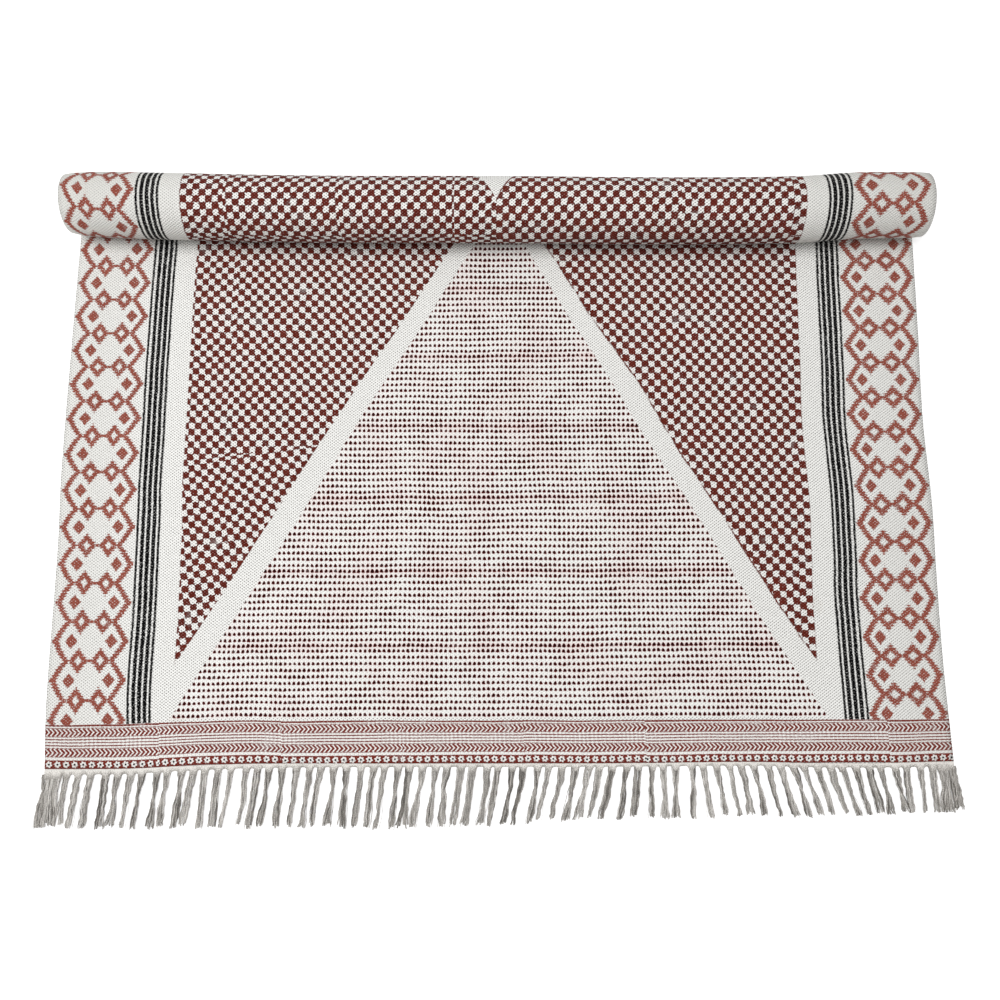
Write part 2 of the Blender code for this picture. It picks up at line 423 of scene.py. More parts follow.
def scatter_hairs(tassels, chance, curve):
    """A few loose hairs that stray from the tassels."""
    for tassel in chance.choices(tassels, k=HAIR_COUNT):
        front = strip_front(tassel["root"])
        start = chance.uniform(*HAIR_STARTS)
        stray = chance.choice((-1, 1)) * chance.uniform(*HAIR_STRAYS)
        spline = curve.splines.new("POLY")
        spline.material_index = chance.choice(YARN_SHADES)
        spline.points.add(HAIR_STEPS)
        for step, point in enumerate(spline.points):
            share = start + (HAIR_END - start) * step / HAIR_STEPS
            middle, forward = tassel_middle(tassel, share)
            away = stray * math.sin(step / HAIR_STEPS * math.pi / 2 + HAIR_TURN)
            away += chance.uniform(-1, 1) * HAIR_JITTER
            place = Vector((middle + away, front - forward, YARN_RADIUS)) + HOME
            point.co = (*place, 1.0)
            point.radius = HAIR_SHARE


def comb_fringe(materials):
    """All the tassels as one mesh of yarns, with a few loose hairs."""
    chance = random.Random(RANDOM_SEED + 1)
    curve = bpy.data.curves.new("fringe_yarns", "CURVE")
    curve.dimensions = "3D"
    curve.bevel_depth = YARN_RADIUS
    curve.bevel_resolution = 1
    curve.use_fill_caps = True
    for material in materials:
        curve.materials.append(material)
    tassels = plan_tassels()
    for tassel in tassels:
        spin_tassel(tassel, chance, curve)
    scatter_hairs(tassels, chance, curve)
    holder = bpy.data.objects.new("fringe_yarns", curve)
    bpy.context.scene.collection.objects.link(holder)
    bpy.context.view_layer.update()
    mesh = bpy.data.meshes.new_from_object(holder.evaluated_get(bpy.context.evaluated_depsgraph_get()))
    bpy.data.objects.remove(holder, do_unlink=True)
    bpy.data.curves.remove(curve)
    work = bmesh.new()
    work.from_mesh(mesh)
    bpy.data.meshes.remove(mesh)
    bmesh.ops.recalc_face_normals(work, faces=work.faces)
    fringe = finish_piece("fringe_tassels", work, materials)
    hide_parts("fringe")
    return fringe


def lay_heading(material):
    """The woven strip in front of the print, drawn forward at each tassel's root into small arches."""
    roots = [tassel["root"] for tassel in plan_tassels()]
    left, right = strip_ends()
    work = bmesh.new()
    place = work.loops.layers.uv.new("strip_place")
    bmesh.ops.create_grid(work, x_segments=STRIP_COLUMNS, y_segments=STRIP_STEPS, size=0.5)
    for face in work.faces:
        for loop in face.loops:
            loop[place].uv = (loop.vert.co.x * (right - left), 0.5 - loop.vert.co.y)
    for vertex in work.verts:
        side = left + (right - left) * (vertex.co.x + 0.5)
        gap = max(0.0, min(abs(side - root) for root in roots) - ROOT_HALF)
        arch = max(0.0, 1 - gap / ARCH_HALF)
        flare = ROOT_FLARE * (1 - math.sqrt(1 - arch ** 2))
        share = 0.5 - vertex.co.y
        rear = read_between(NEAR_EDGE, side) - STRIP_GAP
        back = rear + (strip_front(side) - flare - rear) * share
        height = STRIP_HEIGHT / 2 + STRIP_WAVE_HEIGHT * share * (1 + math.sin(side * STRIP_WAVES))
        vertex.co = Vector((side, back, height)) + HOME
    heading = finish_piece("heading_strip", work, [material])
    solidify = heading.modifiers.new("thickness", "SOLIDIFY")
    solidify.thickness = STRIP_HEIGHT
    solidify.offset = 0.0
    return heading


class Field:
    """A number that changes over a surface, held as a node's socket. Sums with it add Math nodes."""

    def __init__(self, socket):
        self.socket = socket

    def work(self, operation, *others, first=None, clamp=False):
        """A Math node on this number and others; first goes before it."""
        tree = self.socket.id_data
        node = tree.nodes.new("ShaderNodeMath")
        node.operation = operation
        node.use_clamp = clamp
        values = ([] if first is None else [first]) + [self, *others]
        for socket, value in zip(node.inputs, values):
            if isinstance(value, Field):
                tree.links.new(value.socket, socket)
            else:
                socket.default_value = value
        return Field(node.outputs[0])

    def __add__(self, other):
        return self.work("ADD", other)

    def __sub__(self, other):
        return self.work("SUBTRACT", other)

    def __rsub__(self, other):
        return self.work("SUBTRACT", first=other)

    def __mul__(self, other):
        return self.work("MULTIPLY", other)

    def __abs__(self):
        return self.work("ABSOLUTE")

    __radd__ = __add__
    __rmul__ = __mul__

    def sine(self):
        return self.work("SINE")

    def cosine(self):
        return self.work("COSINE")

    def least(self, other):
        return self.work("MINIMUM", other)

    def most(self, other):
        return self.work("MAXIMUM", other)

    def whole(self):
        return self.work("FLOOR")

    def part(self):
        return self.work("FRACT")

    def over(self, limit):
        return self.work("GREATER_THAN", limit)

    def kept(self):
        """The number held between 0 and 1."""
        return self.work("ADD", 0.0, clamp=True)

    def ramp(self, low, high):
        """0 at low and 1 at high, straight between them."""
        return ((self - low) * (1.0 / (high - low))).kept()

    def choose(self, yes, no):
        """The number yes where this one is 1, and no where it is 0."""
        return no + (yes - no) * self


def start_material(name):
    """A material with nodes, its tree and its shader."""
    material = bpy.data.materials.new(name)
    material.use_nodes = True
    tree = material.node_tree
    return material, tree, tree.nodes["Principled BSDF"]


def mix_colour(tree, share, first, second):
    """A colour between two others; each is a socket or a colour."""
    node = tree.nodes.new("ShaderNodeMix")
    node.data_type = "RGBA"
    tree.links.new(share.socket, node.inputs["Factor"])
    for socket, colour in ((node.inputs[6], first), (node.inputs[7], second)):
        if isinstance(colour, bpy.types.NodeSocket):
            tree.links.new(colour, socket)
        else:
            socket.default_value = (*colour, 1.0)
    return node.outputs[2]


def place_vector(tree, x, y):
    """A vector of two numbers, each a Field or a plain number."""
    node = tree.nodes.new("ShaderNodeCombineXYZ")
    for socket, value in zip(node.inputs, (x, y)):
        if isinstance(value, Field):
            tree.links.new(value.socket, socket)
        else:
            socket.default_value = value
    return node.outputs[0]


def cloudy(tree, vector, scale, detail=2.0, roughness=0.5):
    """Soft noise from about -0.5 to 0.5, and the node for its other channels."""
    node = tree.nodes.new("ShaderNodeTexNoise")
    node.noise_dimensions = "2D"
    node.inputs["Scale"].default_value = scale
    node.inputs["Detail"].default_value = detail
    node.inputs["Roughness"].default_value = roughness
    tree.links.new(vector, node.inputs["Vector"])
    return Field(node.outputs["Fac"]) - 0.5, node


def channels(tree, colour):
    """The three numbers of a colour."""
    node = tree.nodes.new("ShaderNodeSeparateColor")
    tree.links.new(colour, node.inputs[0])
    return [Field(socket) for socket in node.outputs]


def by_chance(tree, x, y):
    """Three even random numbers for each pair of whole numbers."""
    node = tree.nodes.new("ShaderNodeTexWhiteNoise")
    node.noise_dimensions = "2D"
    tree.links.new(place_vector(tree, x, y), node.inputs["Vector"])
    return channels(tree, node.outputs["Color"])


def read_map(tree, name):
    """The two numbers of a UV map."""
    uv = tree.nodes.new("ShaderNodeUVMap")
    uv.uv_map = name
    split = tree.nodes.new("ShaderNodeSeparateXYZ")
    tree.links.new(uv.outputs["UV"], split.inputs[0])
    return Field(split.outputs["X"]), Field(split.outputs["Y"])


def add_bump(tree, shader, height, depth):
    """Relief of a depth in metres, from a height between 0 and 1."""
    bump = tree.nodes.new("ShaderNodeBump")
    bump.inputs["Strength"].default_value = 1.0
    bump.inputs["Distance"].default_value = depth
    tree.links.new(height.socket, bump.inputs["Height"])
    tree.links.new(bump.outputs["Normal"], shader.inputs["Normal"])


# The weave: its yarn spacings, and where and how far its hollows lean into slanting lines
WEAVE_ACROSS = 0.0053
WEAVE_ALONG = 0.0040
LEAN_STRETCH = (-0.30, 0.62)
LEAN_EVEN = 0.50
LEAN_MORE = 0.18

# The bare cotton, the painted shade in its hollows, its dust with the painted shade on the roll, and
# marks
COTTON = (0.930, 0.925, 0.896)
COTTON_HOLLOW_SHADE = (0.24, 0.236, 0.222)
COTTON_DUST_AND_SHADE = (0.60, 0.59, 0.555)
COTTON_MARK = (0.55, 0.47, 0.40)
BACK_DUST = (0.58, 0.56, 0.52)
PINK_HAZE = (0.78, 0.52, 0.50)
COTTON_ROUGHNESS = 0.95
COTTON_SHINE = 0.2
PRINT_SHINE = 0.10
PRINT_RELIEF = 0.0009
BACK_RELIEF = 0.0007

# How much the hollows' painted shade, the dust, the roll ends' painted shade, the darkening over the
# side borders, the marks and the haze show, and over which places or depths each grows
HOLLOW_SHADE_DEPTHS = (0.10, 0.60)
HOLLOW_SHADE_DOTTED = 0.60
HOLLOW_SHADE_END = 0.5
OVERALL_DUST = 0.10
ROLL_SHADE = 0.36
ROLL_SHADE_STRETCH = (0.41, 0.44)
SIDE_DARKENING = 0.32
SIDE_DARKENING_STRETCH = (0.47, 0.56)
MARK_DEPTHS = (0.19, 0.34)
MARK_SHARE = 0.30
SEAM_HAZE = 0.28
PATCH_HAZE = 0.16
PATCH_DEPTHS = (0.0, 0.14)
DOT_HAZE = 0.12
DOT_HAZE_DEPTHS = (0.0, 0.0014)
END_HAZE = 0.10

# Where ink misses the weave's hollows or wears thin, and how mottled the inks are
SKIP_DEPTHS = (0.62, 1.15)
SKIP_SHARE = 0.6
THIN_DEPTHS = (0.16, 0.36)
THIN_SHARE = 0.4
BROWN_MOTTLE = 0.62
RED_MOTTLE = 0.6

# The inks, as they dry on the cloth
BRICK_INK = (0.222, 0.049, 0.031)
BRICK_LIGHT = (0.36, 0.110, 0.080)
BROWN_INK = (0.068, 0.0080, 0.0044)
BROWN_LIGHT = (0.262, 0.044, 0.027)
DARK_RED_INK = (0.150, 0.020, 0.013)
DOT_CORE = (0.012, 0.0011, 0.0011)
DOT_EDGE = (0.165, 0.020, 0.017)
BLACK_INK = (0.001, 0.001, 0.0014)

# An ink's edge: its width, and how far the weave and the cotton's fluff fray it
INK_EDGE = 0.0006
WEAVE_FRAY = -0.00075
FLUFF_FRAY = 0.0026

# How finely each kind of unevenness is grained, for each metre
DRIFT_GRAIN = 7.0
MARK_GRAIN = 11.0
BROAD_GRAIN = 13.0
CLOUD_GRAIN = 28.0
FLUFF_GRAIN = 420.0
SPECKLE_GRAIN = 900.0

# The print, in metres across from the middle and along from the near edge: where the design
# turns back, how far it drifts, and how far it is pulled sideways on the roll's right half
PRINT_MIDDLE = 0.900
PRINT_TURN = 0.862
PRINT_DRIFT = 0.004
PULL_PLACE = 0.43
PULL_MOST = 0.0085
PULL_END = 0.56
PULL_EASE = 0.0045
CLOTH_EDGE = 0.5985

# The chain of diamonds along each side, with its links and nubs
BORDER_PITCH = 0.05092
BORDER_START = 0.0405
HOLLOW_DIAMONDS = ((0.5602, 0.0136, 0.0168), (0.5302, 0.0131, 0.0165))
HOLLOW_HOLE = (0.0049, 0.0060)
SLIMMING = (0.87, 1.02)
SMALL_DIAMONDS = (0.5718, 0.5176)
SMALL_DIAMOND_HALF = (0.0086, 0.0100)
CHAIN_MIDDLE = 0.5452
LINK_HALF = 0.0019
LINK_REACH = 0.0062
NUB_MIDDLE = 0.5462
NUB_REACH = 0.0520
NUB_START = 0.044

# How far the chain is off along the cloth: on the right side, along the flat part, and on the roll
RIGHT_CHAIN_SHIFT = 0.0022
CHAIN_LEAD = 0.0034
CHAIN_LAG = 0.0058
CHAIN_LAG_STRETCH = (0.06, 0.38)
CHAIN_GAINS = (0.0012, 0.0040)
CHAIN_GAIN_STRETCH = (0.45, 0.70)
ROLL_CHAIN_SHIFT = 0.0020
RIGHT_ROLL_SHIFT = 0.0056

# The curved zigzag lines beside the chain, and the teeth that the weave's ribs cut in them
LINE_HALF = 0.0041
LINE_SWING = 0.0178
OUTER_LINE = 0.5752
OUTER_CURVE = 0.68
INNER_LINE = 0.5162
INNER_CURVE = 0.85
TOOTH_PITCH = 0.0039
TOOTH_DEPTH = 0.0013
TOOTH_SHARE = 0.8
RIB_WANDER = 3.0
RIGHT_SWELL = 0.0004

# The black stripes: pairs of a place across and a width
STRIPES = ((0.4614, 0.0033), (0.4681, 0.0052), (0.4757, 0.0054), (0.4833, 0.0052), (0.4906, 0.0032))
STRIPE_SHIFT = 0.0014
STRIPE_SHIFT_STRETCH = (0.15, 0.06)

# The rows along the near end: pairs of a place along and half a width for the lines and chevrons
END_TOP = 0.0572
END_LINES = ((0.0565, 0.0013), (0.0382, 0.00080), (0.0342, 0.0007), (0.0302, 0.00080),
             (0.0530, 0.0005), (0.0418, 0.0005), (0.0268, 0.0005), (0.0158, 0.0004))
LINE_WAVE = 0.00010
CHEVRON_ROWS = ((0.0473, 0.0050), (0.0211, 0.0052))
CHEVRON_PITCH = 0.00585
CHEVRON_SLOPE = 0.95
CHEVRON_SHARE = 0.31
FLOWER_PITCH = 0.01114
FLOWER_ROW = 0.0060
FLOWER_BAND = 0.0058
FLOWER_RADIUS = 0.0039
FLOWER_CENTRE = 0.00135
PETALS = 6.0
PETAL_TURN = 1.57
PETAL_DEPTH = 0.00060

# The hand blocks of the near end, and how far one is off: shift, lift and tilt
END_BLOCK = 0.161
END_BLOCK_START = 0.449
END_BLOCK_ROW = 7.0
END_BLOCK_OFF = (0.005, 0.0016, 0.018)

# The checks: their squares, the lines where they end, and the hand blocks and how far those are off
CHECK_START = 0.13
CHECK_EDGE = 0.4308
CHECK_PITCH = (0.01745, 0.0177)
RIGHT_CHECK_PITCH = (0.0179, 0.0186)
RIGHT_COLUMN_SHIFT = 0.0012
LEFT_LINE = (0.831, 0.618)
RIGHT_LINE = (0.847, 0.605)
FAR_LINE = (0.846, 0.570)
OUTLINE_HALF = 0.0011
OUTLINE_END = 0.42
OUTLINE_CLOUDS = (-0.12, 0.02)
SQUARE_ROUND = 0.2
SQUARE_SHARP = 0.8
SQUARE_OPEN = 0.05
INK_SPREAD = 0.125
RIGHT_SPREAD = 0.045
ROLL_FOOT_SPREAD = 0.20
ROLL_FOOT = (0.93, 0.86)
CHECK_WEAVE = 0.16
CHECK_FLUFF = 1.1
CHECK_CLOUDS = 0.42
CHECK_SHARPNESS = 8.0
CHECK_BLOCK = (0.157, 0.30)
CHECK_BLOCK_START = (-0.0575, 0.60)
BLOCK_LOOSE = 0.003
ROLL_LOOSE = 0.005
BLOCK_TILT = 0.012
RIGHT_STEADY = 0.85
TURNED_SLOPE = 0.12
TURNED_END = 0.465
TURNED_TILT = 0.14
TURNED_MIDDLE = (-0.43, 0.30)

# The triangle: the lines of its two sides, and the bulge of the right one
LEFT_SIDE = (0.783, 0.603)
RIGHT_SIDE = (0.798, 0.596)
BULGE_PLACE = 0.515
BULGE_FALL = 9.0
SIDE_BULGE = 0.003
LINE_BULGE = 0.008

# The dots in the triangle, each a little drop, in blocks of rows
DOT_PITCH = 0.00635
DOT_ROW = 0.00863
LAST_DOT_ROW = 11.0
LAST_ROW_HEIGHT = 0.00657
DOT_BLOCK = 0.1015
DOT_SEAM = 0.0985
DOT_START = 0.0605
DOT_RADIUS = 0.00196
DOT_CHANCE = 0.0003
DOT_CLOUDS = 0.0011
DOT_SEAM_SWELL = 0.0002
SEAM_REACH = (-0.009, -0.003)
CORE_DEPTHS = (0.0003, 0.0011)
CORE_FLUFF = 0.001
DOT_STRENGTH = 0.94
DOT_STRENGTH_CHANCE = 0.6
ROW_SHIFT = 0.0014
DOT_SHIFT = 0.0004
DROP_TAPER = 140.0
DROP_LEAN = 0.3
DROP_LENGTH = 0.75
HAZE_REACH = 0.0012


def diamond(across, along, half_across, half_along):
    """How far inside a diamond a place is, in metres."""
    steepness = half_across * half_along / math.hypot(half_across, half_along)
    return (1.0 - (abs(across) * (1 / half_across) + abs(along) * (1 / half_along))) * steepness


def weave_pattern(x, y):
    """The rise and fall of a plain weave, -1 to 1: even at the left, leaning to the right."""
    across = x * (2 * math.pi / WEAVE_ACROSS)
    along = y * (2 * math.pi / WEAVE_ALONG)
    lean = x.ramp(*LEAN_STRETCH) * LEAN_MORE + LEAN_EVEN
    return lean.choose((across - along).cosine(), (across + along).cosine())


class PrintPlace:
    """A place on the printed cloth, with the weave and the unevenness there."""

    def __init__(self, tree):
        self.tree = tree
        self.cloth_x, self.cloth_y = read_map(tree, "print_place")
        self.weave = weave_pattern(self.cloth_x, self.cloth_y)
        self.far = self.cloth_y.over(PRINT_TURN)
        flat_y = self.far.choose(PRINT_MIDDLE * 2 - self.cloth_y, self.cloth_y)
        self.plain = place_vector(tree, self.cloth_x, self.cloth_y)
        _, drift_node = cloudy(tree, self.plain, DRIFT_GRAIN)
        drift_x, drift_y, self.patch = channels(tree, drift_node.outputs["Color"])
        pull = self.cloth_x.ramp(0.0, PULL_PLACE) * PULL_MOST
        pulled = pull - self.cloth_x.ramp(PULL_PLACE, PULL_END) * PULL_EASE
        self.x = self.cloth_x + (drift_x - 0.5) * PRINT_DRIFT + self.far * pulled
        self.y = flat_y + (drift_y - 0.5) * PRINT_DRIFT
        self.fluff, _ = cloudy(tree, self.plain, FLUFF_GRAIN, 1.0)
        self.speckle, _ = cloudy(tree, self.plain, SPECKLE_GRAIN, 1.0)
        self.cloud, _ = cloudy(tree, self.plain, CLOUD_GRAIN, 3.0, 0.6)
        self.broad, _ = cloudy(tree, self.plain, BROAD_GRAIN)
        self.fray = self.weave * WEAVE_FRAY + self.fluff * FLUFF_FRAY
        self.side = abs(self.x)
        self.right = self.x.over(0.0)
        self.above_end = self.printed(self.y - END_TOP, 0.2)

    def printed(self, distance, roughness):
        """The ink's cover at a distance inside a shape, with the weave's uneven edge."""
        return ((distance + self.fray * roughness) * (1 / INK_EDGE) + 0.5).kept()


def sloping_line(y, line):
    """How far out a straight line runs: it starts from the middle at a place along, with a slope."""
    start, slope = line
    return (start - y) * slope


def softened(number, share):
    """A number that dips from 1, with only a share of its dips."""
    return number * share + (1.0 - share)


def triangle_dots(at, bulge):
    """The triangle, its dots, their dark cores, how strong each is, and the pink haze round them."""
    y = at.y
    left_side = sloping_line(y, LEFT_SIDE)
    right_side = sloping_line(y, RIGHT_SIDE) + bulge * SIDE_BULGE
    triangle = at.printed(at.right.choose(right_side, left_side) - at.side, 0.3)
    triangle *= at.printed(y - DOT_START, 0.2)
    dot_y = y - DOT_START
    block = (dot_y * (1 / DOT_BLOCK)).whole()
    in_block = dot_y - block * DOT_BLOCK
    row = (in_block * (1 / DOT_ROW)).whole().least(LAST_DOT_ROW)
    row_shift, _, _ = by_chance(at.tree, row, block)
    dot_x = at.x + (row_shift - 0.5) * ROW_SHIFT
    cell = (dot_x * (1 / DOT_PITCH)).whole()
    size, tilt, tone = by_chance(at.tree, cell, row + block * (LAST_DOT_ROW + 1))
    from_x = dot_x - (cell + 0.5) * DOT_PITCH + (tilt - 0.5) * DOT_SHIFT
    row_height = row.over(LAST_DOT_ROW - 0.5).choose(LAST_ROW_HEIGHT, DOT_ROW)
    from_y = in_block - row * DOT_ROW - row_height * 0.5 + (tone - 0.5) * DOT_SHIFT
    narrow = from_x * (from_y * DROP_TAPER + 1.0) + from_y * (tilt - 0.5) * DROP_LEAN
    radius = (narrow * narrow + from_y * from_y * DROP_LENGTH).work("SQRT")
    seam = (abs(in_block - DOT_SEAM) * -1.0).ramp(*SEAM_REACH)
    dot_size = size * DOT_CHANCE + DOT_RADIUS + at.cloud * DOT_CLOUDS + seam * DOT_SEAM_SWELL
    dots = at.printed(dot_size - radius, 0.3) * triangle
    core = (dot_size - radius - at.fluff * CORE_FLUFF).ramp(*CORE_DEPTHS)
    near_dot = (dot_size + HAZE_REACH - radius).ramp(*DOT_HAZE_DEPTHS)
    haze = seam * SEAM_HAZE + at.broad.ramp(*PATCH_DEPTHS) * PATCH_HAZE + near_dot * DOT_HAZE
    strength = (tone * DOT_STRENGTH_CHANCE + DOT_STRENGTH).kept()
    return triangle, dots, core, strength, triangle * haze.kept()


def check_squares(at):
    """Hand-blocked squares that touch at their corners: above 0 inside a square."""
    x, y, right = at.x, at.y, at.right
    block_x = ((x - CHECK_BLOCK_START[0]) * (1 / CHECK_BLOCK[0])).whole()
    block_y = ((y - CHECK_BLOCK_START[1]) * (1 / CHECK_BLOCK[1])).whole()
    shift_x, shift_y, tilt = by_chance(at.tree, block_x, block_y)
    turned = (1.0 - (y - x * TURNED_SLOPE).over(TURNED_END)) * (1.0 - right)
    loose = at.far * ROLL_LOOSE + BLOCK_LOOSE
    steady = 1.0 - right * RIGHT_STEADY
    turn = turned * TURNED_TILT + (tilt - 0.5) * steady * BLOCK_TILT
    across = x + (y - TURNED_MIDDLE[1]) * turn + (shift_x - 0.5) * loose * steady
    across -= right * RIGHT_COLUMN_SHIFT
    along = y - (x - TURNED_MIDDLE[0]) * turn + (shift_y - 0.5) * loose
    wide = right.choose(math.pi * 2 / RIGHT_CHECK_PITCH[0], math.pi * 2 / CHECK_PITCH[0])
    tall = right.choose(math.pi * 2 / RIGHT_CHECK_PITCH[1], math.pi * 2 / CHECK_PITCH[1])
    a = across * wide
    b = along * tall
    product = a.sine() * b.sine()
    squared = abs(a.sine()).least(abs(b.sine())) * (product.over(0.0) * 2.0 - 1.0)
    return product * SQUARE_ROUND + squared * SQUARE_SHARP - a.cosine() * b.cosine() * SQUARE_OPEN


def side_checks(at, bulge):
    """The checks beside the triangle and beyond it, with a thin outline at the right."""
    left_line = sloping_line(at.y, LEFT_LINE)
    right_line = sloping_line(at.y, RIGHT_LINE) + bulge * LINE_BULGE
    line = at.far.choose(sloping_line(at.y, FAR_LINE), at.right.choose(right_line, left_line))
    inside = (at.side - line).least(CHECK_EDGE - at.side)
    squares = check_squares(at)
    outline = at.printed(OUTLINE_HALF - abs(inside), 1.0) * at.right
    outline *= at.cloud.ramp(*OUTLINE_CLOUDS)
    outline *= 1.0 - (at.side - OUTLINE_END).over(0.0)
    low_on_roll = at.far * at.cloth_y.ramp(*ROLL_FOOT)
    spread = at.right.most(at.far) * RIGHT_SPREAD + low_on_roll * ROLL_FOOT_SPREAD + INK_SPREAD
    uneven = squares + spread + at.weave * CHECK_WEAVE + at.fluff * CHECK_FLUFF
    square_ink = ((uneven + at.cloud * CHECK_CLOUDS) * CHECK_SHARPNESS + 0.5).kept()
    return (square_ink * at.printed(inside, 0.4)).most(outline) * at.printed(at.y - CHECK_START, 0.2)


def end_border(at):
    """The rows along the near end: lines, two rows of chevrons and a row of flowers."""
    block = ((at.x + END_BLOCK_START) * (1 / END_BLOCK)).whole()
    shift, lift, tilt = by_chance(at.tree, block, END_BLOCK_ROW)
    in_block = at.x + END_BLOCK_START - (block + 0.5) * END_BLOCK
    shift_most, lift_most, tilt_most = END_BLOCK_OFF
    y = at.y + (lift - 0.5) * lift_most + in_block * (tilt - 0.5) * tilt_most
    x = at.x + (shift - 0.5) * shift_most
    dash = (x * (2 * math.pi / CHEVRON_PITCH)).cosine() * LINE_WAVE
    lines = reduce(Field.most, (at.printed(dash + half - abs(y - place), 0.4)
                                for place, half in END_LINES))

    def chevron_row(middle, half):
        """One row of chevrons."""
        arm = abs(y - middle)
        wave = ((x + arm * CHEVRON_SLOPE) * (1 / CHEVRON_PITCH)).part()
        stroke = at.printed((CHEVRON_SHARE - abs(wave - 0.5)) * CHEVRON_PITCH, 0.5)
        return stroke * at.printed(half - arm, 0.4)

    chevrons = reduce(Field.most, (chevron_row(middle, half) for middle, half in CHEVRON_ROWS))
    petal_x = ((x * (1 / FLOWER_PITCH)).part() - 0.5) * FLOWER_PITCH
    petal_y = y - FLOWER_ROW
    radius = (petal_x * petal_x + petal_y * petal_y).work("SQRT")
    turn = petal_y.work("ARCTAN2", petal_x)
    petals = (turn * PETALS + PETAL_TURN).cosine() * PETAL_DEPTH + FLOWER_RADIUS
    flower = at.printed(petals - radius, 0.25)
    band = at.printed(FLOWER_BAND - abs(y - FLOWER_BAND), 0.3)
    flowers = band * (1.0 - flower)
    centre = at.printed(FLOWER_CENTRE - radius, 0.2) * band
    return lines.most(chevrons), flowers, centre


def side_border(at, y, ribs):
    """The chain of diamonds along each side, between two curved zigzag lines with toothed edges."""
    side = at.side
    teeth = ribs * TOOTH_DEPTH + at.right * RIGHT_SWELL
    slim = at.right.choose(*SLIMMING)
    place = ((y - BORDER_START) * (1 / BORDER_PITCH) + 0.5).part() - 0.5
    from_joint = place * BORDER_PITCH
    from_small = (0.5 - abs(place)) * BORDER_PITCH
    share = abs(place) * 2.0

    def hollow_diamond(centre, half_across, half_along):
        """One of the two large diamonds of a joint, with its hole."""
        across = (side - centre) * slim
        ring = diamond(across, from_joint, half_across, half_along)
        hole = diamond(across * slim, from_joint, *HOLLOW_HOLE)
        return at.printed((ring + teeth * TOOTH_SHARE).least(hole * -1.0), 1.3)

    ink = reduce(Field.most, (hollow_diamond(*sizes) for sizes in HOLLOW_DIAMONDS))
    for centre in SMALL_DIAMONDS:
        ink = ink.most(at.printed(diamond(side - centre, from_small, *SMALL_DIAMOND_HALF), 1.0))
    outer = share.work("POWER", OUTER_CURVE) * LINE_SWING + OUTER_LINE
    inner = INNER_LINE - share.work("POWER", INNER_CURVE) * LINE_SWING
    for line in (outer, inner):
        ink = ink.most(at.printed(LINE_HALF + teeth - abs(side - line), 1.2))
    link = (LINK_HALF - abs(from_joint)).least(LINK_REACH - abs(side - CHAIN_MIDDLE))
    nub = (LINK_HALF - from_small).least(NUB_REACH - abs(side - NUB_MIDDLE))
    nub = nub.least(abs(side - CHAIN_MIDDLE) - NUB_START)
    return ink.most(at.printed(link, 0.8)).most(at.printed(nub, 0.6))


def side_stripes(at):
    """Five black stripes beside the chain."""
    side = at.side - at.right * at.y.ramp(*STRIPE_SHIFT_STRETCH) * STRIPE_SHIFT
    return reduce(Field.most, (at.printed(width / 2 - abs(side - centre), 0.8)
                               for centre, width in STRIPES))


def side_chain(at):
    """The side border where it lies on the cloth: stretched a little along, and cut at its edges."""
    edge = at.printed(CLOTH_EDGE - at.side, 0.2)
    stretch = CHAIN_LEAD - at.y.ramp(*CHAIN_LAG_STRETCH) * CHAIN_LAG
    stretch += at.y.ramp(*CHAIN_GAIN_STRETCH) * at.right.choose(*CHAIN_GAINS)
    on_roll = at.right * RIGHT_ROLL_SHIFT - ROLL_CHAIN_SHIFT
    chain_y = at.y - at.right * RIGHT_CHAIN_SHIFT + at.far.choose(on_roll, stretch)
    ribs = (at.cloth_y * (2 * math.pi / TOOTH_PITCH) + at.patch * RIB_WANDER).sine()
    return side_border(at, chain_y, ribs) * at.above_end * edge


def cotton_ground(at, triangle, haze):
    """The bare cotton's colour: painted shade in its hollows, its dust, painted shade on the roll's two
    ends, a darkening over the side borders, a few faint marks and the pink haze.
    """
    tree = at.tree
    # Painted shade: the weave's hollows are coloured darker, less so in the triangle and along the near
    # end
    hollow_shade = at.weave.ramp(*HOLLOW_SHADE_DEPTHS) * (1.0 - triangle * HOLLOW_SHADE_DOTTED)
    hollow_shade *= softened(at.above_end, HOLLOW_SHADE_END)
    ground = mix_colour(tree, hollow_shade * (at.fluff + 0.85).kept(), COTTON, COTTON_HOLLOW_SHADE)
    yarn_tone = (at.speckle * 0.5 + at.patch * 0.2 + 0.32).kept()
    # Random yarn tone with dust, painted shade on the roll's two ends, and a darkening over the side
    # borders, all mixed towards one grey
    dust_and_shade = yarn_tone * OVERALL_DUST + at.far * at.side.ramp(*ROLL_SHADE_STRETCH) * ROLL_SHADE
    dust_and_shade += at.side.ramp(*SIDE_DARKENING_STRETCH) * SIDE_DARKENING
    ground = mix_colour(tree, dust_and_shade, ground, COTTON_DUST_AND_SHADE)
    mark, _ = cloudy(tree, at.plain, MARK_GRAIN, 4.0, 0.62)
    ground = mix_colour(tree, mark.ramp(*MARK_DEPTHS) * MARK_SHARE, ground, COTTON_MARK)
    ground = mix_colour(tree, haze * (at.fluff * 2.0 + 0.7).kept(), ground, PINK_HAZE)
    end_haze = (1.0 - at.above_end) * (at.fluff * 2.0 + 0.5).kept() * END_HAZE
    return mix_colour(tree, end_haze, ground, PINK_HAZE)


